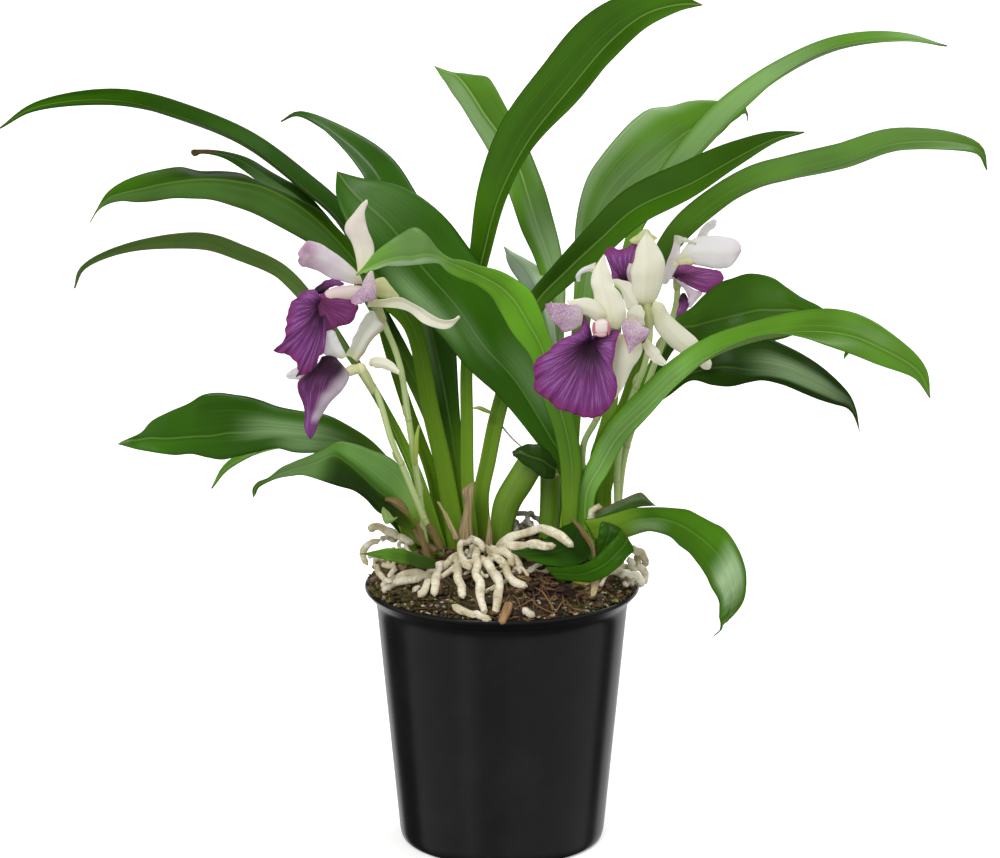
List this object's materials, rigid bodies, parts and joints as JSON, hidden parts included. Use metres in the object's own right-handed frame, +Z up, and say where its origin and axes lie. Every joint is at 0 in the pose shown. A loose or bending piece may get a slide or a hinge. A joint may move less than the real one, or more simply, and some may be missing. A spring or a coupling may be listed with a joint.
{
  "type": "potted cochleanthes orchid",
  "caption": "Flowering orchid with a fan of arching strap leaves and shield-lipped blooms, rooted in a heap of bark mix in a round tapered pot.",
  "frame": {"origin": "centre of the pot's underside, on the surface it stands on", "axes": "+Z up along the pot's axis, -Y towards the side seen in the picture, +X to the viewer's right, along the leaf spread"},
  "size_m": [0.4419, 0.227, 0.3819],
  "materials": {
    "pot": "gloss black, moulded",
    "mix": "coarse damp bark and fibre",
    "crown": "rough, woody, partly mossy",
    "leaf": "smooth, waxy, glossy above",
    "stem": "smooth, satin, light green",
    "stalk": "smooth, thin, grey-green",
    "petal": "soft, matt, cream to lilac white",
    "lip": "velvety, dark purple with paler rays",
    "root": "velvety, whitish, mottled brown",
    "sheath": "dry, papery, brown"
  },
  "bodies": {
    "root": {"crown": "crown", "cut_growth_centre": "stem", "cut_growth_right": "stem", "dry_sheath": "sheath", "flower_left_lower": "petal", "flower_left_upper": "petal", "flower_right_back": "petal", "flower_right_front": "petal", "flower_right_middle": "petal", "flower_stalk_left_lower": "stalk", "flower_stalk_left_upper": "stalk", "flower_stalk_right_back": "stalk", "flower_stalk_right_front": "stalk", "flower_stalk_right_middle": "stalk", "leaf_back_broad": "leaf", "leaf_back_narrow": "leaf", "leaf_back_silvery": "leaf", "leaf_centre_broad": "leaf", "leaf_centre_tallest": "leaf", "leaf_centre_turned": "leaf", "leaf_cut_collar": "leaf", "leaf_cut_left": "leaf", "leaf_cut_right_back": "leaf", "leaf_cut_right_front": "leaf", "leaf_left_broad_low": "leaf", "leaf_left_drooping": "leaf", "leaf_left_folded": "leaf", "leaf_left_hooked": "leaf", "leaf_left_longest": "leaf", "leaf_left_small": "leaf", "leaf_left_thin": "leaf", "leaf_left_upper": "leaf", "leaf_right_arching": "leaf", "leaf_right_hanging": "leaf", "leaf_right_highest": "leaf", "leaf_right_long": "leaf", "leaf_right_low": "leaf", "leaf_right_rising": "leaf", "leaf_right_shaded": "leaf", "leaf_short_front": "leaf", "leaf_short_left": "leaf", "lip_left_lower": "lip", "lip_left_upper": "lip", "lip_right_back": "lip", "lip_right_front": "lip", "lip_right_middle": "lip", "pot": "pot", "potting_mix": "mix", "root_arch_high": "root", "root_arch_low": "root", "root_front_left": "root", "root_front_long": "root", "root_front_right": "root", "root_left_edge": "root", "root_left_forked": "root", "root_left_short": "root", "root_on_rim": "root", "root_right_bent": "root", "root_right_edge": "root", "root_right_short": "root"}
  },
  "joints": []
}
